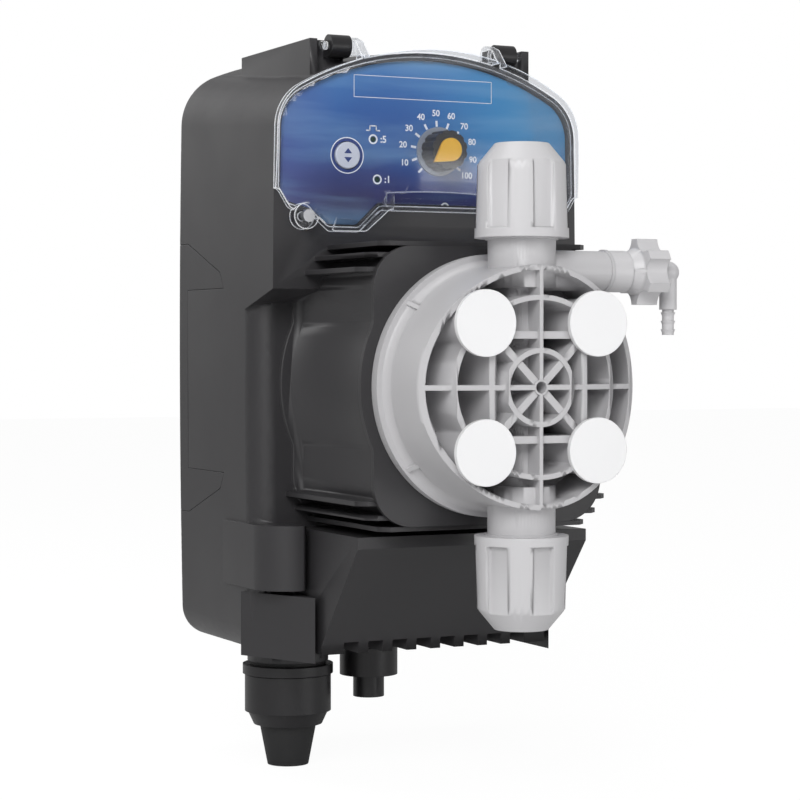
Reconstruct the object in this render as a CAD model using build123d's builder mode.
"""Solenoid-driven diaphragm metering pump on a wall bracket, in millimetres.

The wall is the plane Y = 0 and the pump stands out from it towards -Y, with +Z up.
Z = 0 is the level of the pump head's axis, and X = 0 is the plane through that axis.
Distances in front of the wall are written as depths, which grow towards -Y.
"""

import os
from math import cos, pi, radians, sin, sqrt

from build123d import *

os.makedirs("parts", exist_ok=True)

# ---- Housing ---------------------------------------------------------------
half_width = 63.0              # of the housing, at its widest
side_bow = 1.2                 # how far the sides draw in at top and bottom
rear_top = 131.0               # height of the crown at the back
front_top = 122.5              # height of the crown at the front
base_level = -101.0            # underside of the housing
housing_depth = 99.0           # from the bracket plate to the front rim
rear_crown_radius = 130.0
front_crown_radius = 107.0
rear_corner_radius = 22.0      # upper corners, seen from the front
front_corner_radius = 18.0
base_corner_radius = 12.0
back_edge_radius = 5.0
wall = 3.6
lower_front_setback = 18.0     # lower half stands this far behind the front rim
lower_corner_radius = 9.0
step_front_height = 35.0       # underside of the overhanging upper half
step_rear_height = 30.0

# ---- Wall bracket ----------------------------------------------------------
bracket_plate = 4.0
bracket_top = 54.0
bracket_bottom = -51.0
bracket_half_width = 56.0
wing_thickness = 1.6
wing_clearance = 0.2
wing_short_depth = 17.0        # the plain stretch between the tongues
tongue_depth = 55.0            # how far the tongues reach forward
tongue_inner_height = 36.0     # edge of the upper tongue that faces the middle
lower_tongue_inner_height = -34.0
tongue_tip_width = 6.0
bolt_spacing_x = 80.0
bolt_spacing_z = 70.0
bolt_hole_radius = 2.75

# ---- Solenoid drum ---------------------------------------------------------
drum_bulge_radius = 50.4
drum_half_width = 45.4
drum_half_height = 49.0
drum_corner_radius = 15.0
drum_inset = 1.3               # drum wall stands inside the outline of its lips
drum_length = 64.0             # from the lower front face to the head plate
drum_ring_proud = 2.3
drum_ring_thickness = 2.4
drum_front_wall = 6.0
head_plate_thickness = 2.0
fin_thickness = 1.7
fin_tip_chamfer = 3.5
fins = [(50.2, 40.6), (46.4, 45.7), (41.5, 49.8)]   # half span and height of each fin

# ---- Apron and side blocks under the drum ----------------------------------
apron_half_width = 46.2
apron_top = -53.0
apron_reach = 54.5             # in front of the lower front face, at the top
apron_lip_height = 4.2
apron_foot_reach = 23.5        # in front of the lower front face, at the bottom
apron_foot_height = -94.5
apron_base = -98.0
slot_count = 8
slot_pitch = 9.85
slot_width = 5.9
slot_height = 4.2
slot_run = 14.0
upper_block_top = -51.6
upper_block_bottom = -75.4
lower_block_top = -77.2
block_rear_depth = 56.0
lower_block_rear_depth = 74.0
block_front_reach = 15.0       # in front of the lower front face
lower_block_reach = 23.0
block_inner_x = 48.5
block_radius = 14.0
block_proud = 0.7

# ---- Pump head -------------------------------------------------------------
flange_radius = 46.3
flange_thickness = 4.2
head_length = 37.0             # from the head plate to the hub face
rim_radius = 41.7
rim_thickness = 1.9
bowl_base_radius = 43.6
bow_radius = 97.0              # the front of the grid lies on this upright cylinder
floor_thickness = 12.0
middle_ring_radius = 31.5
inner_ring_radius = 13.5
ring_thickness = 1.85
upright_rib = 1.4
level_rib = 1.8
square_rib = 2.6
square_rib_offset = 17.8
square_rib_setback = 1.6
diagonal_rib = 2.6
diagonal_setback = 0.7
hub_radius = 2.7
hub_hole_radius = 2.0
hub_hole_length = 9.0
screw_spacing = 43.5
tower_radius = 8.8
tower_bore_radius = 5.6
head_screw_radius = 5.0
head_screw_head = 4.6
head_screw_shank_radius = 2.5
head_screw_thread_radius = 2.5
head_screw_bite = 5.0
head_screw_sink = 18.0         # seat of the screw heads behind the hub face
cap_radius = 11.3
cap_thickness = 1.8
cap_proud = 1.2                # cap faces stand in front of the hub face
cap_plug_radius = 5.3
cap_plug_length = 4.0
gusset_angle = 40.0
gusset_thickness = 1.6
gusset_height = 7.5
channel_radius = 6.3           # bosses round the fluid channels
channel_bore_radius = 2.6
port_radius = 2.1
valve_axis_setback = 14.0      # behind the hub face
neck_radius = 11.75
neck_end = 50.5                # where the neck goes into its nut
neck_inner_end = 34.0          # the neck's root inside the bowl
neck_thread_radius = 12.6
neck_thread_length = 14.0
neck_bore_radius = 8.0
neck_bore_start = 39.0
chamber_radius = 21.5
chamber_depth = 2.0

# ---- Valves and pipe nuts --------------------------------------------------
nut_radius = 16.3
nut_taper = 0.7
nut_length = 32.5
nut_band = 3.4
nut_wall_radius = 14.7
nut_chamfer_length = 7.5
nut_end_radius = 9.4
nut_groove_count = 6
nut_groove_angle = 28.0
nut_bore_end = 9.5             # the straight bore stops this far from the nut's end
nut_throat_radius = 9.8
nut_end_wall = 4.0
hose_hole_radius = 6.3
nut_seat_gap = 0.6             # the nut's rim stands this far off the neck shoulder
nipple_radius = 4.0
nipple_bore_radius = 2.0
nipple_flange_radius = 10.6
nipple_flange_thickness = 2.0
nipple_length = 9.0
cage_bore_radius = 4.6
ball_radius = 3.2
ball_lift = 1.5
seat_bore_radius = 2.4
valve_fit = 0.05               # valve cartridge in the neck, all round
seal_thickness = 1.5
seal_bore_radius = 4.6
ball_seat_height = 4.5
ball_gap = 0.08
cage_roof = 2.0
ferrule_radius = 9.2
flow_slot_width = 1.6
ferrule_length = 8.0

# ---- Bleed valve -----------------------------------------------------------
bleed_height = 40.2
bleed_tube_radius = 7.0
bleed_tube_end = 32.0
bleed_shoulder_radius = 7.6
bleed_shoulder_thickness = 1.2
bleed_collar_radius = 7.3
bleed_collar_length = 7.6
bleed_knob_radius = 12.0
bleed_knob_waist = 8.6
bleed_knob_length = 12.6
bleed_knob_lobes = 6
bleed_cone_length = 4.2
bleed_stem_start = 20.0
bleed_stem_radius = 4.0
spout_stem_radius = 2.0
spout_stem_length = 8.0
spout_hub_radius = 3.9
spout_centre_x = 59.4
spout_radius = 3.1
spout_drop = 13.2
barb_radius = 2.1
barb_ridge_radius = 2.6
barb_length = 9.0
barb_count = 3
spout_bore_radius = 1.2

# ---- Control panel ---------------------------------------------------------
rim_width = 2.4
label_recess = 2.8
label_thickness = 0.8
label_clearance = 0.25
panel_side_foot = 71.0         # where the panel's sides turn in at the bottom
panel_bottom = 64.0            # straight middle of the panel's lower edge
panel_lobe_bottom = 55.9
dial_x = 4.9
dial_z = 86.5
dial_ring_radius = 9.1
dial_ring_thickness = 0.7
knob_radius = 7.5
knob_length = 8.6
knob_flutes = 12
pointer_radius = 4.3
pointer_length = 8.4
pointer_thickness = 1.3
pointer_rest_angle = 215.0     # direction of the pointer at rest, seen from the front
dial_shaft_radius = 3.0
button_x = -32.5
button_z = 83.8
button_radius = 4.9
button_flange_radius = 6.0
button_flange_thickness = 1.0
button_proud = 0.9
lamp_radius = 1.0
lamps = [(-22.0, 90.1), (-20.3, 75.4), (7.7, 65.8)]
lamp_hole_clearance = 0.05

# ---- Clear cover and its hinge ---------------------------------------------
cover_wall = 2.0
chin_rise = 7.5                # how far the sloped middle of the lower edge climbs
chin_half_width = 19.0
cover_rise = 12.0              # crown of the cover in front of the rim
cover_dome_radius = 229.0
cover_centre_height = 92.0
cover_boss_x = 51.7
cover_boss_z = 60.9
cover_boss_radius = 4.8
cover_screw_radius = 2.3
cover_screw_head = 2.4
cover_screw_shank_radius = 1.5
cover_screw_hole_radius = 2.2  # room for the shank to swing out with the cover
cover_screw_depth = 5.0
cover_boss_height = 4.6
hinge_height = 124.0
hinge_setback = 6.0            # hinge axis behind the front rim
hinge_pin_radius = 1.5
barrel_radius = 4.1
barrel_inner_x = 30.4
barrel_length = 8.0
hook_thickness = 3.4
hook_gap = 0.5
hook_eye_radius = 3.4
pin_end_radius = 1.8
arm_thickness = 3.0
arm_x = 42.6
arm_top = 126.4
arm_length = 66.0
web_thickness = 5.0

# ---- Drive unit inside the drum --------------------------------------------
can_radius = 33.0
can_wall = 2.4
can_length = 60.0
pole_plate = 4.0
core_radius = 12.0
core_length = 26.0
plunger_radius = 11.9
plunger_length = 20.0
plunger_gap = 4.0
bobbin_wall = 1.6
bobbin_flange = 2.0
bobbin_clearance = 0.3
coil_radius = 28.0
shaft_radius = 4.0
bush_wall = 2.2
bush_length = 12.0
spring_radius = 6.4
spring_wire = 0.6
spring_turns = 7
spring_pocket_radius = 8.2
spring_pocket_depth = 12.0
disc_radius = 14.0
disc_thickness = 2.4
disc_clearance = 1.0
diaphragm_radius = 27.0
diaphragm_thickness = 2.5
diaphragm_seat_clearance = 0.2
fold_rise = 1.2

# ---- Electronics -----------------------------------------------------------
board_width = 96.0
board_height = 46.0
board_centre_z = 84.0
board_thickness = 1.6
board_screw_radius = 2.6
board_screw_head = 1.6
board_screw_shank_radius = 1.2
board_screw_length = 6.0
board_standoff = 7.0           # board behind the panel's inner wall
board_post_radius = 3.0
board_post_x = 43.0
board_post_z = 18.0
pot_radius = 6.5
pot_length = 5.0
switch_size = 6.0
switch_height = 3.6
capacitor_radius = 6.0
capacitor_length = 20.0
transformer_size = 22.0
transformer_depth = 18.0

# ---- Back cover ------------------------------------------------------------
ledge_margin = 9.0             # from the outline of the back to the cover's edge
opening_margin = 17.0          # from the outline of the back to the opening
back_cover_thickness = 2.0
back_cover_clearance = 0.2
back_screw_radius = 2.6
back_screw_head = 1.2
back_screw_shank_radius = 1.3
thread_fit = 0.05              # threads are drawn as plain cylinders with this gap
running_fit = 0.08             # between a turning or sliding piece and its bearing
gap = 0.3                      # between pieces that move past each other
back_screws = [(x, z) for z in (-88.0, 5.0, 100.0) for x in (-49.5, 49.5)]

# ---- Power gland and signal connector --------------------------------------
gland_x = -40.0
gland_depth = 63.0
gland_boss_radius = 15.4
gland_boss_height = 4.2
gland_seal_radius = 14.4
gland_seal_thickness = 1.4
gland_collar_radius = 17.2
gland_collar_height = 3.6
gland_body_radius = 16.4
gland_body_height = 14.0
gland_shoulder_height = 5.0
gland_boot_height = 15.5
gland_boot_top_radius = 10.8
gland_boot_end_radius = 7.8
gland_stem_radius = 11.0
gland_stem_length = 12.0
gland_thread_radius = 9.0
cable_hole_radius = 3.5
connector_x = -6.0
connector_depth = 63.0
connector_stem_radius = 6.6
connector_stem_length = 10.0
connector_thread_radius = 5.5
cap_body_radius = 11.2
cap_body_height = 11.0
cap_tip_radius = 6.0
cap_tip_height = 8.6
cap_top_gap = 0.8


# ---- Depths that follow from the sizes above --------------------------------
back_depth = bracket_plate
rim_depth = back_depth + housing_depth
lower_depth = rim_depth - lower_front_setback
drum_end = lower_depth + drum_length
flange_depth = drum_end + head_plate_thickness
hub_depth = flange_depth + head_length
label_seat_depth = rim_depth - label_recess
label_face_depth = label_seat_depth + label_thickness
panel_inner_depth = label_seat_depth - wall
valve_depth = hub_depth - valve_axis_setback
floor_depth = flange_depth + floor_thickness
hinge_depth = rim_depth - hinge_setback
board_front_depth = panel_inner_depth - board_standoff
board_back_depth = board_front_depth - board_thickness
screw_seat_depth = hub_depth - head_screw_sink
can_front = drum_end - drum_front_wall
can_back = can_front - can_length
port_height = chamber_radius - 2 * channel_bore_radius


def face(depth):
    """The upright plane at this depth in front of the wall, facing forward."""
    return Plane.XZ.offset(depth)


def level(height):
    """The level plane at this height, facing up, with its own Y as -depth."""
    return Plane.XY.offset(height)


def place(x, depth, z):
    """A position given by its depth in front of the wall."""
    return (x, -depth, z)


def write(part, label):
    """Label one finished piece and write it as its own STEP file."""
    part.label = label
    export_step(part, f"parts/{label}.step")


def crown_outline(top, crown_radius, corner_radius, inset):
    """Front view of the housing: level base, bowed sides and an arched crown."""
    half = half_width - inset
    foot = base_level + inset
    crown = top - inset
    arc = crown_radius - inset
    shoulder_x = half - side_bow
    shoulder = crown - arc + sqrt(arc**2 - shoulder_x**2)
    middle = (foot + shoulder) / 2
    with BuildSketch() as outline:
        with BuildLine():
            Line((-shoulder_x, foot), (shoulder_x, foot))
            ThreePointArc((shoulder_x, foot), (half, middle), (shoulder_x, shoulder))
            ThreePointArc((shoulder_x, shoulder), (0, crown), (-shoulder_x, shoulder))
            ThreePointArc((-shoulder_x, shoulder), (-half, middle), (-shoulder_x, foot))
        make_face()
        fillet(outline.vertices().group_by(Axis.Y)[-1], max(corner_radius - inset, 2))
        fillet(outline.vertices().group_by(Axis.Y)[0], max(base_corner_radius - inset, 2))
    return outline.sketch


def housing_block(inset, start, end, back_radius):
    """Solid of the whole housing drawn in by a wall, before the lower half is set back."""
    with BuildPart() as block:
        for depth in (start, end):
            share = (depth - back_depth) / housing_depth
            top = rear_top + share * (front_top - rear_top)
            crown = rear_crown_radius + share * (front_crown_radius - rear_crown_radius)
            corner = rear_corner_radius + share * (front_corner_radius - rear_corner_radius)
            with BuildSketch(face(depth)):
                add(crown_outline(top, crown, corner, inset))
        loft()
        fillet(block.faces().sort_by(Axis.Y)[-1].edges(), back_radius)
    return block.part


def below_step(inset):
    """Everything in front of the lower front face and under the overhang."""
    with BuildPart() as prism:
        with BuildSketch(Plane.YZ):
            with BuildLine():
                Polyline(
                    (-(lower_depth - inset), 2 * base_level),
                    (-(lower_depth - inset), step_rear_height + inset),
                    (-(rim_depth + 1), step_front_height + inset),
                    (-(rim_depth + 1), 2 * base_level),
                    close=True,
                )
            make_face()
        extrude(amount=2 * half_width, both=True)
    return prism.part


def drum_outline(grow):
    """Front view of the drum: a rounded square with round cheeks."""
    width = drum_half_width + grow
    height = drum_half_height + grow
    cheek = 0.6 * height
    with BuildSketch() as outline:
        Rectangle(2 * width, 2 * height)
        fillet(outline.vertices(), drum_corner_radius + grow)
        with BuildSketch(mode=Mode.PRIVATE) as cheeks:
            Circle(drum_bulge_radius + grow)
            Rectangle(4 * width, 2 * cheek, mode=Mode.INTERSECT)
        add(cheeks.sketch)
        waist = outline.vertices().filter_by(lambda v: abs(v.Y) < cheek - 1 and abs(v.X) > width / 2)
        fillet(waist, 6)
    return outline.sketch


def tongue_prism(gap):
    """Side view of the bracket's wings, swept right through the pump."""
    short = -wing_short_depth - gap
    tip = -tongue_depth - gap
    upper = tongue_inner_height - gap
    lower = lower_tongue_inner_height + gap
    nose = tongue_tip_width + 2 * gap
    with BuildPart() as prism:
        with BuildSketch(Plane.YZ):
            with BuildLine():
                Polyline(
                    (0, bracket_top + gap),
                    (short, bracket_top + gap),
                    (tip + 4, upper + nose),
                    (tip, upper),
                    (short, upper),
                    (short, lower),
                    (tip, lower),
                    (tip + 4, lower - nose),
                    (short, bracket_bottom - gap),
                    (0, bracket_bottom - gap),
                    close=True,
                )
            make_face()
        extrude(amount=2 * half_width, both=True)
    return prism.part


def beyond(x_limit):
    """The space further than this from the middle plane, on both sides."""
    with BuildPart() as sides:
        with Locations((x_limit + half_width, -rim_depth / 2, 0), (-x_limit - half_width, -rim_depth / 2, 0)):
            Box(2 * half_width, rim_depth, 6 * half_width)
    return sides.part


def block_outline(rear, inner_x, radius):
    """Plan of one side block: a flank, one big round corner and a front."""
    front = lower_depth + block_front_reach
    with BuildSketch() as plan:
        with BuildLine():
            outer = half_width + block_proud
            corner = (-outer + radius * (1 - cos(pi / 4)), -front + radius * (1 - sin(pi / 4)))
            Line((-inner_x, -rear), (-outer, -rear))
            Line((-outer, -rear), (-outer, -front + radius))
            ThreePointArc((-outer, -front + radius), corner, (-outer + radius, -front))
            Line((-outer + radius, -front), (-inner_x, -front))
            Line((-inner_x, -front), (-inner_x, -rear))
        make_face()
    return plan.sketch


def panel_outline(inset):
    """Front view of the panel: the crown above, and a lower edge with two lobes."""
    side = 2 * half_width
    foot = panel_side_foot + inset
    lobe = panel_lobe_bottom + inset
    middle = panel_bottom + inset
    right = [
        (side, foot),
        (half_width - 1.5, foot),
        (cover_boss_x + 5.5, foot - 7),
        (cover_boss_x - 4.0, lobe + 5.5),
        (cover_boss_x - 10.5, lobe),
        (29.0, lobe),
        (20.5, middle),
    ]
    left = [(-x, z) for x, z in reversed(right)]
    with BuildSketch() as region:
        with BuildLine():
            FilletPolyline(*right, *left, radius=2.5)
            Polyline(left[-1], (-side, 2 * rear_top), (side, 2 * rear_top), right[0])
        make_face()
    with BuildSketch() as outline:
        add(crown_outline(front_top, front_crown_radius, front_corner_radius, inset))
        add(region.sketch, mode=Mode.INTERSECT)
    return outline.sketch


# ---- Housing ------------------------------------------------------------------
outer_block = housing_block(0, back_depth, rim_depth, back_edge_radius)
skin_depth = wing_thickness + wing_clearance
pocket = (tongue_prism(wing_clearance) & beyond(bracket_half_width - 2)) - housing_block(
    skin_depth, back_depth + skin_depth, rim_depth, back_edge_radius - skin_depth
)
hollow = housing_block(
    wall, back_depth + wall, panel_inner_depth, back_edge_radius - wall
) - below_step(wall)

with BuildPart() as housing:
    add(outer_block)
    add(below_step(0), mode=Mode.SUBTRACT)
    lower_corners = housing.edges().filter_by(
        lambda e: abs(e.center().Y + lower_depth) < 1
        and abs(e.center().X) > half_width - 3
        and e.length > -base_level
    )
    fillet(lower_corners, lower_corner_radius)
    # Drum with a proud ring where it leaves the housing.
    with BuildSketch(face(lower_depth - wall)):
        add(drum_outline(-drum_inset))
    extrude(amount=drum_length + wall)
    with BuildSketch(face(lower_depth - wall)):
        add(drum_outline(drum_ring_proud))
    extrude(amount=drum_ring_thickness + wall)
    # Cooling fins on the four corners of the drum.
    for half_span, height in fins:
        for side in (-1, 1):
            with BuildSketch(level(side * height - fin_thickness / 2)):
                with BuildLine():
                    Polyline(
                        (-half_span, -lower_depth),
                        (-half_span, -drum_end + fin_tip_chamfer),
                        (-half_span + fin_tip_chamfer, -drum_end),
                        (half_span - fin_tip_chamfer, -drum_end),
                        (half_span, -drum_end + fin_tip_chamfer),
                        (half_span, -lower_depth),
                        close=True,
                    )
                make_face()
            extrude(amount=fin_thickness)
    # Apron: a wedge under the drum whose face leans back towards its foot.
    with BuildSketch(Plane.YZ):
        with BuildLine():
            Polyline(
                (-lower_depth + wall, apron_top),
                (-lower_depth - apron_reach, apron_top),
                (-lower_depth - apron_reach, apron_top - apron_lip_height),
                (-lower_depth - apron_foot_reach, apron_foot_height),
                (-lower_depth - apron_foot_reach, apron_base),
                (-lower_depth + wall, apron_base),
                close=True,
            )
        make_face()
    extrude(amount=apron_half_width, both=True)
    # Slots through the apron's foot.
    first_slot = -(slot_count - 1) / 2 * slot_pitch
    for index in range(slot_count):
        with Locations((first_slot + index * slot_pitch, -lower_depth - apron_foot_reach, apron_base)):
            Box(slot_width, 2 * slot_run, 2 * slot_height, mode=Mode.SUBTRACT)
    # Side blocks.
    with BuildSketch(level(upper_block_bottom)):
        add(block_outline(block_rear_depth, block_inner_x, block_radius))
        mirror(about=Plane.YZ)
    extrude(amount=upper_block_top - upper_block_bottom)
    with BuildSketch(level(base_level)):
        flank = -half_width - block_proud
        nose = -lower_depth - lower_block_reach
        with BuildLine():
            Polyline(
                (-block_inner_x, -lower_block_rear_depth),
                (flank, -lower_block_rear_depth),
                (-block_inner_x, nose),
                close=True,
            )
        make_face()
        mirror(about=Plane.YZ)
    extrude(amount=lower_block_top - base_level)
    # Hinge arms and the webs that carry the hinge barrels.
    arm_foot = front_top - front_corner_radius
    for side in (-1, 1):
        arm_start = arm_x if side > 0 else -arm_x - arm_thickness
        with BuildSketch(Plane.YZ.offset(arm_start)):
            with BuildLine():
                Polyline(
                    (-hinge_depth, arm_top),
                    (-hinge_depth + arm_length, arm_top),
                    (-hinge_depth + arm_length, arm_foot),
                    (-hinge_depth, arm_foot),
                    close=True,
                )
            make_face()
        extrude(amount=arm_thickness)
        web_width = arm_x - barrel_inner_x
        with Locations(place(
            side * (barrel_inner_x + web_width / 2),
            hinge_depth - barrel_radius - web_thickness / 2,
            (arm_top + arm_foot) / 2,
        )):
            Box(web_width, web_thickness, arm_top - arm_foot)
    # Gland boss under the base.
    with Locations(place(gland_x, gland_depth, base_level - gland_boss_height / 2 + 1)):
        Cylinder(gland_boss_radius, gland_boss_height + 2)
    # Hollow inside, the drum's bore and the hole for the pump's shaft.
    add(hollow, mode=Mode.SUBTRACT)
    with BuildSketch(face(lower_depth - 2 * wall)):
        Circle(can_radius + 0.3)
    extrude(amount=can_front - lower_depth + 2 * wall, mode=Mode.SUBTRACT)
    with BuildSketch(face(can_front - 1)):
        Circle(disc_radius + disc_clearance)
        with GridLocations(screw_spacing, screw_spacing, 2, 2):
            Circle(head_screw_thread_radius)
    extrude(amount=drum_front_wall + 1, mode=Mode.SUBTRACT)
    # Seat of the label, and the holes behind it.
    with BuildSketch(face(label_seat_depth)):
        add(panel_outline(rim_width))
    extrude(amount=label_recess + 1, mode=Mode.SUBTRACT)
    with BuildSketch(face(panel_inner_depth - 1)):
        with Locations((dial_x, dial_z)):
            Circle(dial_shaft_radius + running_fit)
        with Locations((button_x, button_z)):
            Circle(button_radius + running_fit)
        with Locations(*lamps):
            Circle(lamp_radius + lamp_hole_clearance)
    extrude(amount=wall + 2, mode=Mode.SUBTRACT)
    with BuildSketch(face(rim_depth - cover_screw_depth - 1)):
        with Locations((cover_boss_x, cover_boss_z), (-cover_boss_x, cover_boss_z)):
            Circle(cover_screw_hole_radius)
    extrude(amount=cover_screw_depth + 2, mode=Mode.SUBTRACT)
    # Posts for the control board.
    with BuildSketch(face(board_front_depth)):
        with Locations((0, board_centre_z)):
            with GridLocations(2 * board_post_x, 2 * board_post_z, 2, 2):
                Circle(board_post_radius)
    extrude(amount=board_standoff + 0.5)
    with BuildSketch(face(board_front_depth)):
        with Locations((0, board_centre_z)):
            with GridLocations(2 * board_post_x, 2 * board_post_z, 2, 2):
                Circle(board_screw_shank_radius + thread_fit)
    extrude(amount=board_screw_length, mode=Mode.SUBTRACT)
    # Opening at the back, with a ledge for the back cover.
    with BuildSketch(face(back_depth)):
        add(crown_outline(rear_top, rear_crown_radius, rear_corner_radius, ledge_margin))
    extrude(amount=back_cover_thickness, mode=Mode.SUBTRACT)
    with BuildSketch(face(back_depth)):
        add(crown_outline(rear_top, rear_crown_radius, rear_corner_radius, opening_margin))
    extrude(amount=wall + 1, mode=Mode.SUBTRACT)
    with BuildSketch(face(back_depth)):
        with Locations(*back_screws):
            Circle(back_screw_shank_radius)
    extrude(amount=wall + 1, mode=Mode.SUBTRACT)
    # Pockets for the bracket's wings.
    add(pocket, mode=Mode.SUBTRACT)
    # Passages for the power gland and the signal connector.
    with BuildSketch(level(base_level - gland_boss_height)):
        with Locations((gland_x, -gland_depth)):
            Circle(gland_thread_radius)
        with Locations((connector_x, -connector_depth)):
            Circle(connector_thread_radius)
    extrude(amount=gland_boss_height + wall + 1, mode=Mode.SUBTRACT)
write(housing.part, "housing")


# ---- Wall bracket -----------------------------------------------------------------
bracket_middle = (bracket_top + bracket_bottom) / 2
wings = (tongue_prism(0) & beyond(bracket_half_width - 2) & outer_block) - housing_block(
    wing_thickness, back_depth + wing_thickness, rim_depth, back_edge_radius - wing_thickness
)
with BuildPart() as wall_bracket:
    with BuildSketch(face(0)):
        with Locations((0, bracket_middle)):
            Rectangle(2 * bracket_half_width, bracket_top - bracket_bottom)
    extrude(amount=bracket_plate)
    with BuildSketch(face(0)):
        with GridLocations(bolt_spacing_x, bolt_spacing_z, 2, 2):
            Circle(bolt_hole_radius)
    extrude(amount=bracket_plate, mode=Mode.SUBTRACT)
    add(wings)
write(wall_bracket.part, "wall_bracket")

# ---- Back cover and its screws ------------------------------------------------------
with BuildPart() as back_cover:
    with BuildSketch(face(back_depth)):
        margin = ledge_margin + back_cover_clearance
        add(crown_outline(rear_top, rear_crown_radius, rear_corner_radius, margin))
    extrude(amount=back_cover_thickness)
    with BuildSketch(face(back_depth)):
        with Locations(*back_screws):
            Circle(back_screw_radius + thread_fit)
    extrude(amount=back_screw_head, mode=Mode.SUBTRACT)
    with BuildSketch(face(back_depth)):
        with Locations(*back_screws):
            Circle(back_screw_shank_radius + 2 * thread_fit)
    extrude(amount=back_cover_thickness, mode=Mode.SUBTRACT)
write(back_cover.part, "back_cover")

with BuildPart() as back_cover_screws:
    with BuildSketch(face(back_depth)):
        with Locations(*back_screws):
            Circle(back_screw_radius)
    extrude(amount=back_screw_head)
    with BuildSketch(face(back_depth)):
        with Locations(*back_screws):
            Circle(back_screw_shank_radius - thread_fit)
    extrude(amount=wall)
write(back_cover_screws.part, "back_cover_screws")

# ---- Head plate: the flat lid of the drum --------------------------------------------
with BuildPart() as head_plate:
    with BuildSketch(face(drum_end)):
        add(drum_outline(0))
        Circle(disc_radius + disc_clearance, mode=Mode.SUBTRACT)
        with GridLocations(screw_spacing, screw_spacing, 2, 2):
            Circle(head_screw_shank_radius + thread_fit, mode=Mode.SUBTRACT)
    extrude(amount=head_plate_thickness)
write(head_plate.part, "head_plate")

# ---- Pump head: a bowl whose bowed front is a grid of rings, ribs and spokes -----------
cap_seat_depth = hub_depth + cap_proud - cap_thickness
flange_front = flange_depth + flange_thickness
with BuildPart() as bow:
    with Locations(place(0, hub_depth - bow_radius, 0)):
        Cylinder(bow_radius, 3 * flange_radius)

with BuildPart() as grid:
    # Outside of the bowl, turned about the head's axis.
    with BuildSketch(Plane.XY):
        with BuildLine():
            Line((0, -flange_depth), (flange_radius, -flange_depth))
            Line((flange_radius, -flange_depth), (flange_radius, -flange_front))
            Line((flange_radius, -flange_front), (bowl_base_radius + 1, -flange_front))
            root = ThreePointArc(
                (bowl_base_radius + 1, -flange_front),
                (bowl_base_radius - 0.6, -flange_front - 1.6),
                (bowl_base_radius - 1, -flange_front - 5),
            )
            Line(root @ 1, (rim_radius, -hub_depth))
            Line((rim_radius, -hub_depth), (0, -hub_depth))
            Line((0, -hub_depth), (0, -flange_depth))
        make_face()
    revolve(axis=Axis.Y)
    # Inside of the bowl.
    with BuildSketch(face(floor_depth)):
        Circle(rim_radius - rim_thickness)
    extrude(amount=head_length, mode=Mode.SUBTRACT)
    rib_height = hub_depth - floor_depth
    # Rings, the upright rib and the level rib reach the front.
    with BuildSketch(face(floor_depth)):
        for radius in (middle_ring_radius, inner_ring_radius):
            Circle(radius)
            Circle(radius - ring_thickness, mode=Mode.SUBTRACT)
        Rectangle(upright_rib, 2 * rim_radius - rim_thickness)
        Rectangle(2 * rim_radius - rim_thickness, level_rib)
        Circle(hub_radius)
    extrude(amount=rib_height)
    # Ribs that tie the screw towers into a square lie a little deeper.
    with BuildSketch(face(floor_depth)):
        for side in (-1, 1):
            with Locations((0, side * square_rib_offset)):
                Rectangle(screw_spacing, square_rib)
            with Locations((side * square_rib_offset, 0)):
                Rectangle(square_rib, screw_spacing)
    extrude(amount=rib_height - square_rib_setback)
    # Four spokes from the hub to the towers.
    with BuildSketch(face(floor_depth)):
        Rectangle(screw_spacing * sqrt(2), diagonal_rib, rotation=45)
        Rectangle(screw_spacing * sqrt(2), diagonal_rib, rotation=-45)
    extrude(amount=rib_height - diagonal_setback)
    add(bow.part, mode=Mode.INTERSECT)

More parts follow.
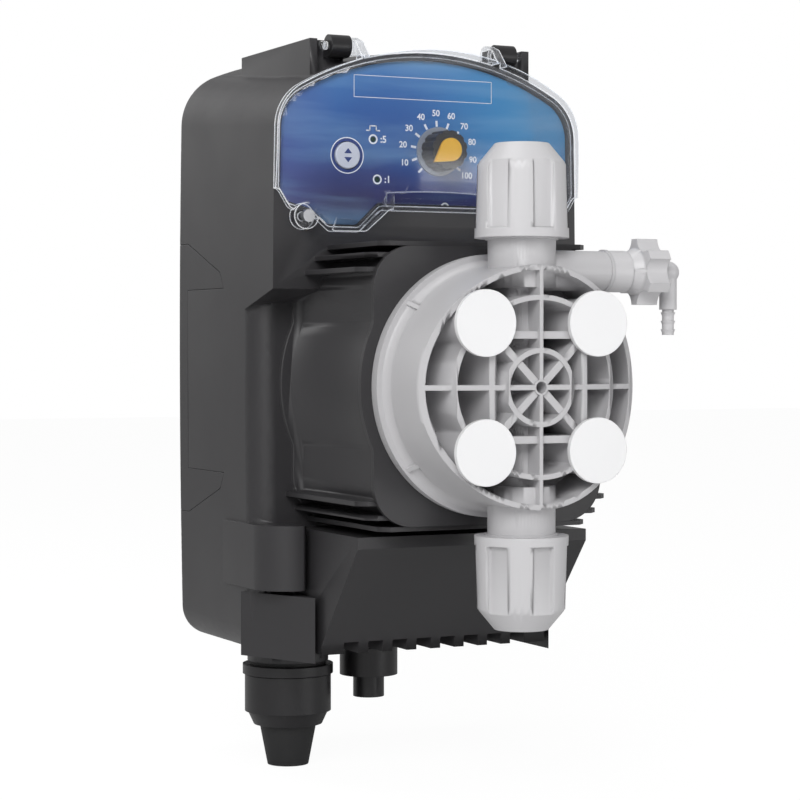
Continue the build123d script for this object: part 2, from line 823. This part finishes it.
with BuildPart() as pump_head:
    add(grid.part)
    # Towers for the four head screws.
    with BuildSketch(face(floor_depth - 1)):
        with GridLocations(screw_spacing, screw_spacing, 2, 2):
            Circle(tower_radius)
    extrude(amount=cap_seat_depth - floor_depth + 1)
    # Fluid channel behind the upright rib.
    with BuildSketch(face(floor_depth - 1)):
        Rectangle(2 * channel_radius, 2 * neck_inner_end)
    extrude(amount=valve_depth - floor_depth + 1)
    with Locations(place(0, valve_depth, 0)):
        Cylinder(channel_radius, 2 * neck_inner_end)
    for side in (-1, 1):
        # Neck, with a thread for the pipe nut.
        neck_length = neck_end - neck_inner_end
        with Locations(place(0, valve_depth, side * (neck_inner_end + neck_length / 2))):
            Cylinder(neck_radius, neck_length)
        with Locations(place(0, valve_depth, side * (neck_end + neck_thread_length / 2))):
            Cylinder(neck_thread_radius, neck_thread_length)
    # Tube for the bleed valve.
    with BuildSketch(Plane.YZ.offset(neck_radius / 2)):
        with Locations((-valve_depth, bleed_height)):
            Circle(bleed_tube_radius)
    extrude(amount=bleed_tube_end - neck_radius / 2)
    with BuildSketch(Plane.YZ.offset(bleed_tube_end)):
        with Locations((-valve_depth, bleed_height)):
            Circle(bleed_shoulder_radius)
    extrude(amount=bleed_shoulder_thickness)
    # Bores of the necks, the fluid channels and the bleed valve.
    for side in (-1, 1):
        bore_length = neck_end + neck_thread_length - neck_bore_start
        with Locations(place(0, valve_depth, side * (neck_bore_start + bore_length / 2))):
            Cylinder(neck_bore_radius, bore_length, mode=Mode.SUBTRACT)
        port_middle = (port_height + neck_bore_start) / 2
        with Locations(place(0, valve_depth, side * port_middle)):
            Cylinder(channel_bore_radius, neck_bore_start - port_height + 1, mode=Mode.SUBTRACT)
        with BuildSketch(face(flange_depth)):
            with Locations((0, side * port_height)):
                Circle(port_radius)
        extrude(amount=valve_depth - flange_depth, mode=Mode.SUBTRACT)
    with BuildSketch(Plane.YZ.offset(bleed_stem_start)):
        with Locations((-valve_depth, bleed_height)):
            Circle(bleed_stem_radius + running_fit)
    extrude(amount=bleed_tube_end, mode=Mode.SUBTRACT)
    with BuildSketch(Plane.YZ):
        with Locations((-valve_depth, bleed_height)):
            Circle(spout_bore_radius)
    extrude(amount=bleed_tube_end, mode=Mode.SUBTRACT)
    # Gussets between the flange and the bowl.
    for angle in (gusset_angle, 180 - gusset_angle, 180 + gusset_angle, -gusset_angle):
        turn = Plane.XY.rotated((0, angle, 0))
        with BuildSketch(turn):
            with BuildLine():
                Polyline(
                    (rim_radius - 1, -flange_front + 1),
                    (flange_radius - 0.4, -flange_front + 1),
                    (rim_radius - 1, -flange_front - gusset_height),
                    close=True,
                )
            make_face()
        extrude(amount=gusset_thickness / 2, both=True)
    # Screw holes, the hub's dimple, the diaphragm's seat and the pumping chamber.
    with BuildSketch(face(screw_seat_depth)):
        with GridLocations(screw_spacing, screw_spacing, 2, 2):
            Circle(tower_bore_radius)
    extrude(amount=head_length, mode=Mode.SUBTRACT)
    with BuildSketch(face(flange_depth)):
        with GridLocations(screw_spacing, screw_spacing, 2, 2):
            Circle(head_screw_shank_radius + thread_fit)
    extrude(amount=head_length, mode=Mode.SUBTRACT)
    with BuildSketch(face(hub_depth - hub_hole_length)):
        Circle(hub_hole_radius)
    extrude(amount=2 * hub_hole_length, mode=Mode.SUBTRACT)
    with BuildSketch(face(flange_depth)):
        Circle(diaphragm_radius + diaphragm_seat_clearance)
    extrude(amount=diaphragm_thickness, mode=Mode.SUBTRACT)
    with BuildSketch(face(flange_depth)):
        Circle(chamber_radius)
    extrude(amount=diaphragm_thickness + chamber_depth, mode=Mode.SUBTRACT)
write(pump_head.part, "pump_head")

with BuildPart() as head_screws:
    with BuildSketch(face(screw_seat_depth)):
        with GridLocations(screw_spacing, screw_spacing, 2, 2):
            Circle(head_screw_radius)
    extrude(amount=head_screw_head)
    with BuildSketch(face(drum_end - head_screw_bite)):
        with GridLocations(screw_spacing, screw_spacing, 2, 2):
            Circle(head_screw_shank_radius - thread_fit)
    extrude(amount=screw_seat_depth - drum_end + head_screw_bite)
    with BuildSketch(face(screw_seat_depth + head_screw_head - 2.5)):
        with GridLocations(screw_spacing, screw_spacing, 2, 2):
            RegularPolygon(2.5, 6)
    extrude(amount=2.5, mode=Mode.SUBTRACT)
write(head_screws.part, "head_screws")

with BuildPart() as screw_caps:
    with BuildSketch(face(cap_seat_depth)):
        with GridLocations(screw_spacing, screw_spacing, 2, 2):
            Circle(cap_radius)
    extrude(amount=cap_thickness)
    with BuildSketch(face(cap_seat_depth - cap_plug_length)):
        with GridLocations(screw_spacing, screw_spacing, 2, 2):
            Circle(cap_plug_radius)
    extrude(amount=cap_plug_length)
write(screw_caps.part, "screw_caps")

# ---- Solenoid ------------------------------------------------------------------------
core_back = can_front - core_length - pole_plate
plunger_front = core_back - plunger_gap
pocket_front = core_back + spring_pocket_depth
can_inner_radius = can_radius - can_wall
with BuildPart() as solenoid_can:
    with BuildSketch(face(can_back)):
        Circle(can_radius)
    extrude(amount=can_length)
    with BuildSketch(face(can_back + pole_plate)):
        Circle(can_inner_radius)
    extrude(amount=can_length, mode=Mode.SUBTRACT)
    with BuildSketch(face(can_back)):
        Circle(plunger_radius + running_fit)
    extrude(amount=pole_plate, mode=Mode.SUBTRACT)
write(solenoid_can.part, "solenoid_can")

with BuildPart() as fixed_core:
    with BuildSketch(face(core_back)):
        Circle(core_radius)
    extrude(amount=core_length)
    with BuildSketch(face(can_front - pole_plate)):
        Circle(can_inner_radius - thread_fit)
        with GridLocations(screw_spacing, screw_spacing, 2, 2):
            Circle(head_screw_radius, mode=Mode.SUBTRACT)
    extrude(amount=pole_plate)
    with BuildSketch(face(core_back)):
        Circle(shaft_radius + bush_wall + thread_fit)
    extrude(amount=core_length + pole_plate, mode=Mode.SUBTRACT)
    with BuildSketch(face(core_back)):
        Circle(spring_pocket_radius)
    extrude(amount=spring_pocket_depth, mode=Mode.SUBTRACT)
write(fixed_core.part, "fixed_core")

bobbin_bore = core_radius + bobbin_clearance
bobbin_start = can_back + pole_plate
bobbin_length = can_length - 2 * pole_plate
with BuildPart() as coil_bobbin:
    with BuildSketch(face(bobbin_start)):
        Circle(bobbin_bore + bobbin_wall)
    extrude(amount=bobbin_length)
    for start in (bobbin_start, bobbin_start + bobbin_length - bobbin_flange):
        with BuildSketch(face(start)):
            Circle(coil_radius + bobbin_clearance)
        extrude(amount=bobbin_flange)
    with BuildSketch(face(bobbin_start)):
        Circle(bobbin_bore)
    extrude(amount=bobbin_length, mode=Mode.SUBTRACT)
write(coil_bobbin.part, "coil_bobbin")

with BuildPart() as coil_winding:
    with BuildSketch(face(bobbin_start + bobbin_flange)):
        Circle(coil_radius)
        Circle(bobbin_bore + bobbin_wall, mode=Mode.SUBTRACT)
    extrude(amount=bobbin_length - 2 * bobbin_flange)
write(coil_winding.part, "coil_winding")

with BuildPart() as guide_bush:
    with BuildSketch(face(pocket_front)):
        Circle(shaft_radius + bush_wall)
        Circle(shaft_radius + running_fit, mode=Mode.SUBTRACT)
    extrude(amount=bush_length)
write(guide_bush.part, "guide_bush")

with BuildPart() as plunger:
    with BuildSketch(face(plunger_front - plunger_length)):
        Circle(plunger_radius)
    extrude(amount=plunger_length)
    with BuildSketch(face(plunger_front - plunger_length)):
        Circle(shaft_radius / 2)
    extrude(amount=plunger_length, mode=Mode.SUBTRACT)
write(plunger.part, "plunger")

with BuildPart() as plunger_shaft:
    with BuildSketch(face(plunger_front)):
        Circle(shaft_radius)
    extrude(amount=flange_depth - plunger_front)
    with BuildSketch(face(plunger_front - plunger_length / 2)):
        Circle(shaft_radius / 2)
    extrude(amount=plunger_length / 2)
    with BuildSketch(face(flange_depth - disc_thickness)):
        Circle(disc_radius)
    extrude(amount=disc_thickness)
write(plunger_shaft.part, "plunger_shaft")

# The spring is one helix of round wire.
spring_pitch = (pocket_front - plunger_front - 2 * spring_wire) / spring_turns
with BuildPart() as return_spring:
    with BuildLine() as spring_line:
        Helix(spring_pitch, spring_pitch * spring_turns, spring_radius)
    with BuildSketch(Plane(origin=spring_line.line @ 0, z_dir=spring_line.line % 0)):
        Circle(spring_wire)
    sweep(path=spring_line.line, is_frenet=True)
spring_solid = Rot(90, 0, 0) * return_spring.part
spring_solid = Pos(place(0, plunger_front + spring_wire, 0)) * spring_solid
write(spring_solid, "return_spring")

# ---- Diaphragm: a bead, a thin rolling fold and a thick middle -------------------------
fold_inner = disc_radius + 1
fold_outer = chamber_radius
with BuildPart() as diaphragm:
    with BuildSketch(Plane.XY):
        with BuildLine():
            back = -flange_depth
            front = -flange_depth - diaphragm_thickness
            middle = (fold_inner + fold_outer) / 2
            Polyline(
                (fold_outer, back),
                (diaphragm_radius, back),
                (diaphragm_radius, front),
                (fold_outer, front),
            )
            ThreePointArc((fold_outer, front), (middle, front - fold_rise), (fold_inner, front))
            Polyline((fold_inner, front), (0, front), (0, back), (fold_inner, back))
            ThreePointArc((fold_inner, back), (middle, back - fold_rise), (fold_outer, back))
        make_face()
    revolve(axis=Axis.Y)
write(diaphragm.part, "diaphragm")

# ---- Valves, nipples and pipe nuts ---------------------------------------------------
valve_start = neck_bore_start + seal_thickness
neck_face = neck_end + neck_thread_length
cage_floor = ball_seat_height
seat_rise = sqrt(ball_radius**2 - seat_bore_radius**2)
ball_centre = cage_floor + seat_rise + ball_gap
cage_roof_start = ball_centre + ball_radius + ball_lift + ball_gap
cartridge_length = neck_face - valve_start
cartridge_radius = neck_bore_radius - valve_fit
nut_start = neck_end + nut_seat_gap
nut_end = nut_start + nut_length
flange_start = neck_face
nipple_start = flange_start + nipple_flange_thickness


def valve_axis(height):
    """A level plane on the axis of the pump head's valves."""
    return Plane(origin=place(0, valve_depth, height), z_dir=(0, 0, 1))


def valve_set(side, name):
    """The valve cartridge, its ball and seal, and the nipple of one port."""
    bottom = valve_start if side > 0 else -neck_face
    with BuildPart() as seal:
        with BuildSketch(valve_axis(side * neck_bore_start)):
            Circle(cartridge_radius)
            Circle(seal_bore_radius, mode=Mode.SUBTRACT)
        extrude(amount=side * seal_thickness)
    write(seal.part, f"{name}_seal")
    with BuildPart() as seat:
        with BuildSketch(valve_axis(bottom)):
            Circle(cartridge_radius)
            Circle(seat_bore_radius, mode=Mode.SUBTRACT)
        extrude(amount=cage_floor)
    write(seat.part, f"{name}_seat")
    with BuildPart() as cage:
        with BuildSketch(valve_axis(bottom + cage_floor)):
            Circle(cartridge_radius)
            Circle(cage_bore_radius, mode=Mode.SUBTRACT)
        extrude(amount=cartridge_length - cage_floor)
        with BuildSketch(valve_axis(bottom + cage_roof_start)):
            Circle(cage_bore_radius + thread_fit)
            Rectangle(flow_slot_width, 2 * cage_bore_radius, mode=Mode.SUBTRACT)
            Rectangle(2 * cage_bore_radius, flow_slot_width, mode=Mode.SUBTRACT)
        extrude(amount=cage_roof)
    write(cage.part, f"{name}_valve")
    with BuildPart() as ball:
        with Locations(place(0, valve_depth, bottom + ball_centre)):
            Sphere(ball_radius)
    write(ball.part, f"{name}_ball")
    with BuildPart() as nipple:
        with BuildSketch(valve_axis(side * flange_start)):
            Circle(nipple_flange_radius)
        extrude(amount=side * nipple_flange_thickness)
        with BuildSketch(valve_axis(side * nipple_start)):
            Circle(nipple_radius)
        extrude(amount=side * nipple_length, taper=2)
        with BuildSketch(valve_axis(side * flange_start)):
            Circle(nipple_bore_radius)
        extrude(amount=side * 2 * nipple_length, mode=Mode.SUBTRACT)
    write(nipple.part, f"{name}_nipple")
    with BuildPart() as ferrule:
        with BuildSketch(valve_axis(side * nipple_start)):
            Circle(ferrule_radius)
        extrude(amount=side * ferrule_length, taper=4)
        with BuildSketch(valve_axis(side * nipple_start)):
            Circle(hose_hole_radius)
        extrude(amount=side * ferrule_length, mode=Mode.SUBTRACT)
    write(ferrule.part, f"{name}_ferrule")


def pipe_nut(side, name):
    """A tall nut with six wide grooves, a tapered nose and a hole for the hose."""
    groove = radians(nut_groove_angle / 2)
    reach = 2 * nut_radius
    half = reach * sin(groove) / cos(groove)
    with BuildSketch() as notch:
        Polygon((0, 0), (reach, -half), (reach, half), align=None)
    nose = nut_end - nut_chamfer_length
    nose_radius = nut_radius - nut_taper
    bore = neck_thread_radius + running_fit
    with BuildPart() as nut:
        with BuildSketch(Plane.XZ):
            with BuildLine():
                Polyline(
                    (0, nut_start),
                    (nut_radius, nut_start),
                    (nose_radius, nose),
                    (nut_end_radius, nut_end),
                    (0, nut_end),
                    close=True,
                )
            make_face()
        revolve(axis=Axis.Z)
        with BuildSketch(level(nut_start + nut_band)):
            with PolarLocations(0, nut_groove_count, start_angle=180 / nut_groove_count):
                add(notch.sketch)
            Circle(nut_wall_radius, mode=Mode.SUBTRACT)
        extrude(amount=nut_length, mode=Mode.SUBTRACT)
        with BuildSketch(Plane.XZ):
            with BuildLine():
                Polyline(
                    (0, nut_start - 1),
                    (bore, nut_start - 1),
                    (bore, nut_end - nut_bore_end),
                    (nut_throat_radius, nut_end - nut_end_wall),
                    (hose_hole_radius, nut_end - nut_end_wall),
                    (hose_hole_radius, nut_end + 1),
                    (0, nut_end + 1),
                    close=True,
                )
            make_face()
        revolve(axis=Axis.Z, mode=Mode.SUBTRACT)
    turned = nut.part if side > 0 else Rot(180, 0, 0) * nut.part
    write(Pos(place(0, valve_depth, 0)) * turned, f"{name}_nut")


for side, name in ((1, "delivery"), (-1, "suction")):
    valve_set(side, name)
    pipe_nut(side, name)

# ---- Bleed valve ------------------------------------------------------------------------
collar_start = bleed_tube_end + bleed_shoulder_thickness
knob_start = collar_start + bleed_collar_length + gap
knob_end = knob_start + bleed_knob_length
cone_end = knob_start + bleed_cone_length
hub_start = knob_end + gap
spout_end = bleed_height - spout_drop


def bleed_axis(x):
    """The plane across the bleed valve's axis at this distance to the right."""
    return Plane(origin=place(x, valve_depth, bleed_height), z_dir=(1, 0, 0))


with BuildPart() as bleed_collar:
    with BuildSketch(bleed_axis(collar_start)):
        Circle(bleed_collar_radius)
        Circle(bleed_stem_radius + running_fit, mode=Mode.SUBTRACT)
    extrude(amount=bleed_collar_length)
write(bleed_collar.part, "bleed_collar")

with BuildPart() as bleed_knob:
    with BuildSketch(bleed_axis(cone_end)):
        RegularPolygon(bleed_knob_radius, 2 * bleed_knob_lobes, rotation=180 / bleed_knob_lobes / 2)
        lobe_step = 360 / bleed_knob_lobes
        for index in range(bleed_knob_lobes):
            with Locations(Rot(0, 0, (index + 0.5) * lobe_step) * Pos(bleed_knob_radius + 1.6, 0, 0)):
                Circle(bleed_knob_radius + 1.6 - bleed_knob_waist, mode=Mode.SUBTRACT)
    extrude(amount=bleed_knob_length - bleed_cone_length)
    with BuildSketch(bleed_axis(knob_start)):
        Circle(bleed_collar_radius - 1)
    with BuildSketch(bleed_axis(cone_end)):
        Circle(bleed_knob_waist)
    loft()
    with BuildSketch(bleed_axis(bleed_stem_start + gap)):
        Circle(bleed_stem_radius)
    extrude(amount=knob_start - bleed_stem_start)
    with BuildSketch(bleed_axis(knob_end - spout_stem_length)):
        Circle(spout_stem_radius + running_fit)
    extrude(amount=2 * spout_stem_length, mode=Mode.SUBTRACT)
write(bleed_knob.part, "bleed_knob")

with BuildPart() as bleed_spout:
    with BuildSketch(bleed_axis(hub_start)):
        Circle(spout_hub_radius)
    extrude(amount=spout_centre_x - hub_start)
    with Locations(place(spout_centre_x, valve_depth, bleed_height)):
        Sphere(spout_hub_radius)
    with BuildSketch(bleed_axis(knob_end - spout_stem_length + 2 * gap)):
        Circle(spout_stem_radius)
    extrude(amount=spout_stem_length)
    with BuildSketch(Plane(origin=place(spout_centre_x, valve_depth, bleed_height), z_dir=(0, 0, -1))):
        Circle(spout_radius)
    extrude(amount=spout_drop)
    with BuildSketch(Plane(origin=place(spout_centre_x, valve_depth, spout_end), z_dir=(0, 0, -1))):
        Circle(barb_radius)
    extrude(amount=barb_length)
    ridge_pitch = barb_length / barb_count
    for index in range(barb_count):
        ridge = spout_end - (index + 1) * ridge_pitch
        with Locations(place(spout_centre_x, valve_depth, ridge + ridge_pitch / 3)):
            Cone(barb_radius - 0.3, barb_ridge_radius, 2 * ridge_pitch / 3)
    with BuildSketch(Plane(origin=place(spout_centre_x, valve_depth, bleed_height), z_dir=(0, 0, -1))):
        Circle(spout_bore_radius)
    extrude(amount=spout_drop + barb_length, mode=Mode.SUBTRACT)
write(bleed_spout.part, "bleed_spout")

# ---- Control panel ------------------------------------------------------------------------
dial_start = label_face_depth
knob_back = dial_start + dial_ring_thickness + gap
knob_front = knob_back + knob_length
knob_bore_depth = knob_front - 2
with BuildPart() as panel_label:
    with BuildSketch(face(label_seat_depth)):
        add(panel_outline(rim_width + label_clearance))
        with Locations((dial_x, dial_z)):
            Circle(dial_shaft_radius + gap, mode=Mode.SUBTRACT)
        with Locations((button_x, button_z)):
            Circle(button_radius + gap, mode=Mode.SUBTRACT)
        with Locations(*lamps):
            Circle(lamp_radius + lamp_hole_clearance, mode=Mode.SUBTRACT)
    extrude(amount=label_thickness)
write(panel_label.part, "panel_label")

with BuildPart() as dial_ring:
    with BuildSketch(face(dial_start)):
        with Locations((dial_x, dial_z)):
            Circle(dial_ring_radius)
            Circle(dial_shaft_radius + gap, mode=Mode.SUBTRACT)
    extrude(amount=dial_ring_thickness)
write(dial_ring.part, "dial_ring")

with BuildPart() as dial_knob:
    with BuildSketch(face(knob_back)):
        with Locations((dial_x, dial_z)):
            Circle(knob_radius)
            with PolarLocations(knob_radius + 0.4, knob_flutes):
                Circle(0.9, mode=Mode.SUBTRACT)
    extrude(amount=knob_length, taper=1.5)
    with BuildSketch(face(knob_back)):
        with Locations((dial_x, dial_z)):
            Circle(dial_shaft_radius)
    extrude(amount=knob_bore_depth - knob_back, mode=Mode.SUBTRACT)
write(dial_knob.part, "dial_knob")

grip = pointer_radius / pointer_length
touch_x = pointer_radius * grip
touch_y = pointer_radius * sqrt(1 - grip**2)
with BuildSketch() as teardrop:
    with BuildLine():
        Line((touch_x, touch_y), (pointer_length, 0))
        Line((pointer_length, 0), (touch_x, -touch_y))
        ThreePointArc((touch_x, -touch_y), (-pointer_radius, 0), (touch_x, touch_y))
    make_face()
with BuildPart() as dial_pointer:
    with BuildSketch(face(knob_front)):
        with Locations((dial_x, dial_z)):
            add(teardrop.sketch, rotation=pointer_rest_angle)
    extrude(amount=pointer_thickness)
write(dial_pointer.part, "dial_pointer")

with BuildPart() as dial_shaft:
    with BuildSketch(face(board_front_depth + 1)):
        with Locations((dial_x, dial_z)):
            Circle(dial_shaft_radius)
    extrude(amount=knob_bore_depth - board_front_depth - 1)
write(dial_shaft.part, "dial_shaft")

with BuildPart() as select_button:
    flange_back = panel_inner_depth - gap - button_flange_thickness
    with BuildSketch(face(flange_back)):
        with Locations((button_x, button_z)):
            Circle(button_flange_radius)
    extrude(amount=button_flange_thickness)
    with BuildSketch(face(flange_back)):
        with Locations((button_x, button_z)):
            Circle(button_radius)
    extrude(amount=label_face_depth + button_proud - flange_back)
    fillet(select_button.faces().sort_by(Axis.Y)[0].edges(), 0.4)
write(select_button.part, "select_button")

with BuildPart() as indicator_lamps:
    with BuildSketch(face(board_front_depth)):
        with Locations(*lamps):
            Circle(lamp_radius)
    extrude(amount=label_face_depth - board_front_depth + 0.1)
write(indicator_lamps.part, "indicator_lamps")

# ---- Electronics ------------------------------------------------------------------------
with BuildPart() as control_board:
    with BuildSketch(face(board_back_depth)):
        with Locations((0, board_centre_z)):
            Rectangle(board_width, board_height)
            with GridLocations(2 * board_post_x, 2 * board_post_z, 2, 2):
                Circle(board_screw_shank_radius + 2 * thread_fit, mode=Mode.SUBTRACT)
    extrude(amount=board_thickness)
write(control_board.part, "control_board")

with BuildPart() as board_screws:
    with BuildSketch(face(board_back_depth)):
        with Locations((0, board_centre_z)):
            with GridLocations(2 * board_post_x, 2 * board_post_z, 2, 2):
                Circle(board_screw_radius)
    extrude(amount=-board_screw_head)
    with BuildSketch(face(board_back_depth)):
        with Locations((0, board_centre_z)):
            with GridLocations(2 * board_post_x, 2 * board_post_z, 2, 2):
                Circle(board_screw_shank_radius - thread_fit)
    extrude(amount=board_screw_length)
write(board_screws.part, "board_screws")

with BuildPart() as potentiometer:
    with BuildSketch(face(board_front_depth)):
        with Locations((dial_x, dial_z)):
            Circle(pot_radius)
    extrude(amount=pot_length)
    with BuildSketch(face(board_front_depth + 1 - gap)):
        with Locations((dial_x, dial_z)):
            Circle(dial_shaft_radius + running_fit)
    extrude(amount=pot_length, mode=Mode.SUBTRACT)
write(potentiometer.part, "potentiometer")

with BuildPart() as tact_switch:
    with BuildSketch(face(board_front_depth)):
        with Locations((button_x, button_z)):
            Rectangle(switch_size, switch_size)
    extrude(amount=switch_height - 1)
    with BuildSketch(face(board_front_depth)):
        with Locations((button_x, button_z)):
            Circle(switch_size / 4)
    extrude(amount=switch_height)
write(tact_switch.part, "tact_switch")

with BuildPart() as capacitor:
    with BuildSketch(face(board_back_depth)):
        with Locations((-24, board_centre_z - 6)):
            Circle(capacitor_radius)
    extrude(amount=-capacitor_length)
write(capacitor.part, "capacitor")

with BuildPart() as transformer:
    with BuildSketch(face(board_back_depth)):
        with Locations((12, board_centre_z)):
            Rectangle(transformer_size, transformer_size)
    extrude(amount=-transformer_depth)
write(transformer.part, "transformer")

# ---- Clear cover --------------------------------------------------------------------------
cover_back = rim_depth + gap
cover_front = rim_depth + cover_rise


def cover_block(inset):
    """The cover filled in: the panel's outline, domed, with its lower edge sloped."""
    radius = cover_dome_radius - inset
    with BuildPart() as block:
        with BuildSketch(face(cover_back)):
            add(panel_outline(inset - gap))
        extrude(amount=cover_rise)
        with Locations(place(0, cover_front - cover_dome_radius, cover_centre_height)):
            Sphere(radius, mode=Mode.INTERSECT)
    return block.part


def chin(inset):
    """Wedge that slopes the middle of the cover's lower edge."""
    with BuildPart() as wedge:
        with BuildSketch(Plane.YZ):
            with BuildLine():
                Polyline(
                    (-cover_back - 1, panel_bottom - 12 + inset),
                    (-cover_back - 1, panel_bottom - 1 + inset),
                    (-cover_front - 1, panel_bottom + chin_rise + inset),
                    (-cover_front - 1, panel_bottom - 12 + inset),
                    close=True,
                )
            make_face()
        extrude(amount=chin_half_width + inset, both=True)
    return wedge.part


with BuildPart() as clear_cover:
    add(cover_block(0))
    add(chin(0), mode=Mode.SUBTRACT)
    add(cover_block(cover_wall) - chin(cover_wall), mode=Mode.SUBTRACT)
    for side in (-1, 1):
        # Screw boss.
        with BuildSketch(face(cover_back)):
            with Locations((side * cover_boss_x, cover_boss_z)):
                Circle(cover_boss_radius)
        extrude(amount=cover_boss_height)
        with BuildSketch(face(cover_back)):
            with Locations((side * cover_boss_x, cover_boss_z)):
                Circle(cover_screw_shank_radius)
        extrude(amount=cover_rise, mode=Mode.SUBTRACT)
        # Hook over the top of the housing, with the pin it turns on.
        hook_x = barrel_inner_x - hook_gap - hook_thickness
        hook_start = hook_x if side > 0 else -hook_x - hook_thickness
        with BuildSketch(Plane.YZ.offset(hook_start)):
            with Locations((-hinge_depth, hinge_height)):
                Circle(hook_eye_radius)
            with BuildLine():
                Polyline(
                    (-hinge_depth, hinge_height + hook_eye_radius),
                    (-hinge_depth - 5.5, hinge_height + hook_eye_radius - 1.9),
                    (-cover_back - 5.2, hinge_height - 5),
                    (-cover_back - 5.2, hinge_height - 6.4),
                    (-cover_back, hinge_height - 6.4),
                    (-cover_back, hinge_height - hook_eye_radius),
                    (-hinge_depth, hinge_height - hook_eye_radius),
                    close=True,
                )
            make_face()
        extrude(amount=hook_thickness)
        pin_end = barrel_inner_x + barrel_length + gap + pin_end_radius
        with BuildSketch(Plane.YZ.offset(side * (hook_x + 1))):
            with Locations((-hinge_depth, hinge_height)):
                Circle(hinge_pin_radius)
        extrude(amount=side * (pin_end - hook_x - 1))
        with Locations(place(side * pin_end, hinge_depth, hinge_height)):
            Sphere(pin_end_radius)
write(clear_cover.part, "clear_cover")

with BuildPart() as cover_screws:
    with BuildSketch(face(cover_back + cover_boss_height)):
        with Locations((cover_boss_x, cover_boss_z), (-cover_boss_x, cover_boss_z)):
            Circle(cover_screw_radius)
    extrude(amount=cover_screw_head)
    with BuildSketch(face(rim_depth - cover_screw_depth)):
        with Locations((cover_boss_x, cover_boss_z), (-cover_boss_x, cover_boss_z)):
            Circle(cover_screw_shank_radius)
    extrude(amount=cover_screw_depth + gap + cover_boss_height)
write(cover_screws.part, "cover_screws")

with BuildPart() as hinge_barrels:
    for side in (-1, 1):
        with BuildSketch(Plane.YZ.offset(side * barrel_inner_x)):
            with Locations((-hinge_depth, hinge_height)):
                Circle(barrel_radius)
            with Locations((-hinge_depth + barrel_radius / 2, hinge_height - barrel_radius / 2)):
                Rectangle(barrel_radius, barrel_radius)
            with Locations((-hinge_depth, hinge_height)):
                Circle(hinge_pin_radius + running_fit, mode=Mode.SUBTRACT)
        extrude(amount=side * barrel_length)
write(hinge_barrels.part, "hinge_barrels")

# ---- Power gland and signal connector -------------------------------------------------------
boss_end = base_level - gland_boss_height
collar_top = boss_end - gland_seal_thickness
collar_bottom = collar_top - gland_collar_height
gland_nut_top = collar_bottom - gap
body_bottom = gland_nut_top - gland_body_height
waist_bottom = body_bottom - gland_shoulder_height
boot_bottom = waist_bottom - gland_boot_height
stem_bottom = collar_bottom - gland_stem_length


def gland_plane(height):
    """A level plane on the axis of the power gland, facing down."""
    return Plane(origin=place(gland_x, gland_depth, height), z_dir=(0, 0, -1))


with BuildPart() as gland_seal:
    with BuildSketch(gland_plane(boss_end)):
        Circle(gland_seal_radius)
        Circle(gland_thread_radius, mode=Mode.SUBTRACT)
    extrude(amount=gland_seal_thickness)
write(gland_seal.part, "gland_seal")

with BuildPart() as gland_stem:
    with BuildSketch(gland_plane(base_level + 2 * wall)):
        Circle(gland_thread_radius - thread_fit)
    extrude(amount=base_level + 2 * wall - collar_top)
    with BuildSketch(gland_plane(collar_top)):
        Circle(gland_collar_radius)
    extrude(amount=gland_collar_height)
    with BuildSketch(gland_plane(collar_bottom)):
        Circle(gland_stem_radius)
    extrude(amount=gland_stem_length)
    with BuildSketch(gland_plane(base_level + 2 * wall)):
        Circle(cable_hole_radius)
    extrude(amount=base_level + 2 * wall - stem_bottom, mode=Mode.SUBTRACT)
write(gland_stem.part, "gland_stem")

with BuildPart() as gland_nut:
    with BuildSketch(gland_plane(gland_nut_top)):
        Circle(gland_body_radius)
    extrude(amount=gland_body_height)
    with BuildSketch(gland_plane(body_bottom)):
        Circle(gland_body_radius - 1)
    extrude(amount=gland_shoulder_height, taper=25)
    with BuildSketch(gland_plane(gland_nut_top)):
        Circle(gland_stem_radius + running_fit)
    extrude(amount=gland_stem_length + gap, mode=Mode.SUBTRACT)
    with BuildSketch(gland_plane(gland_nut_top)):
        Circle(gland_boot_end_radius)
    extrude(amount=2 * gland_body_height, mode=Mode.SUBTRACT)
write(gland_nut.part, "gland_nut")

with BuildPart() as gland_boot:
    with BuildSketch(gland_plane(waist_bottom)):
        Circle(gland_boot_top_radius)
    with BuildSketch(gland_plane(boot_bottom)):
        Circle(gland_boot_end_radius)
    loft()
    with BuildSketch(gland_plane(body_bottom)):
        Circle(gland_boot_end_radius - thread_fit)
    extrude(amount=gland_shoulder_height)
    with BuildSketch(gland_plane(body_bottom)):
        Circle(cable_hole_radius)
    extrude(amount=body_bottom - boot_bottom, mode=Mode.SUBTRACT)
write(gland_boot.part, "gland_boot")


def connector_plane(height):
    """A level plane on the axis of the signal connector, facing down."""
    return Plane(origin=place(connector_x, connector_depth, height), z_dir=(0, 0, -1))


with BuildPart() as connector_stem:
    with BuildSketch(connector_plane(base_level + 2 * wall)):
        Circle(connector_thread_radius - thread_fit)
    extrude(amount=2 * wall)
    with BuildSketch(connector_plane(base_level)):
        Circle(connector_stem_radius)
    extrude(amount=connector_stem_length)
    with BuildSketch(connector_plane(base_level + wall)):
        Circle(connector_stem_radius / 2)
    extrude(amount=connector_stem_length + wall, mode=Mode.SUBTRACT)
write(connector_stem.part, "connector_stem")

with BuildPart() as connector_cap:
    cap_top = base_level - cap_top_gap
    with BuildSketch(connector_plane(cap_top)):
        Circle(cap_body_radius)
    extrude(amount=cap_body_height)
    with BuildSketch(connector_plane(cap_top + -cap_body_height)):
        Circle(cap_tip_radius)
    extrude(amount=cap_tip_height)
    with BuildSketch(connector_plane(cap_top)):
        Circle(connector_stem_radius + running_fit)
    extrude(amount=connector_stem_length - cap_top_gap + gap, mode=Mode.SUBTRACT)
write(connector_cap.part, "connector_cap")
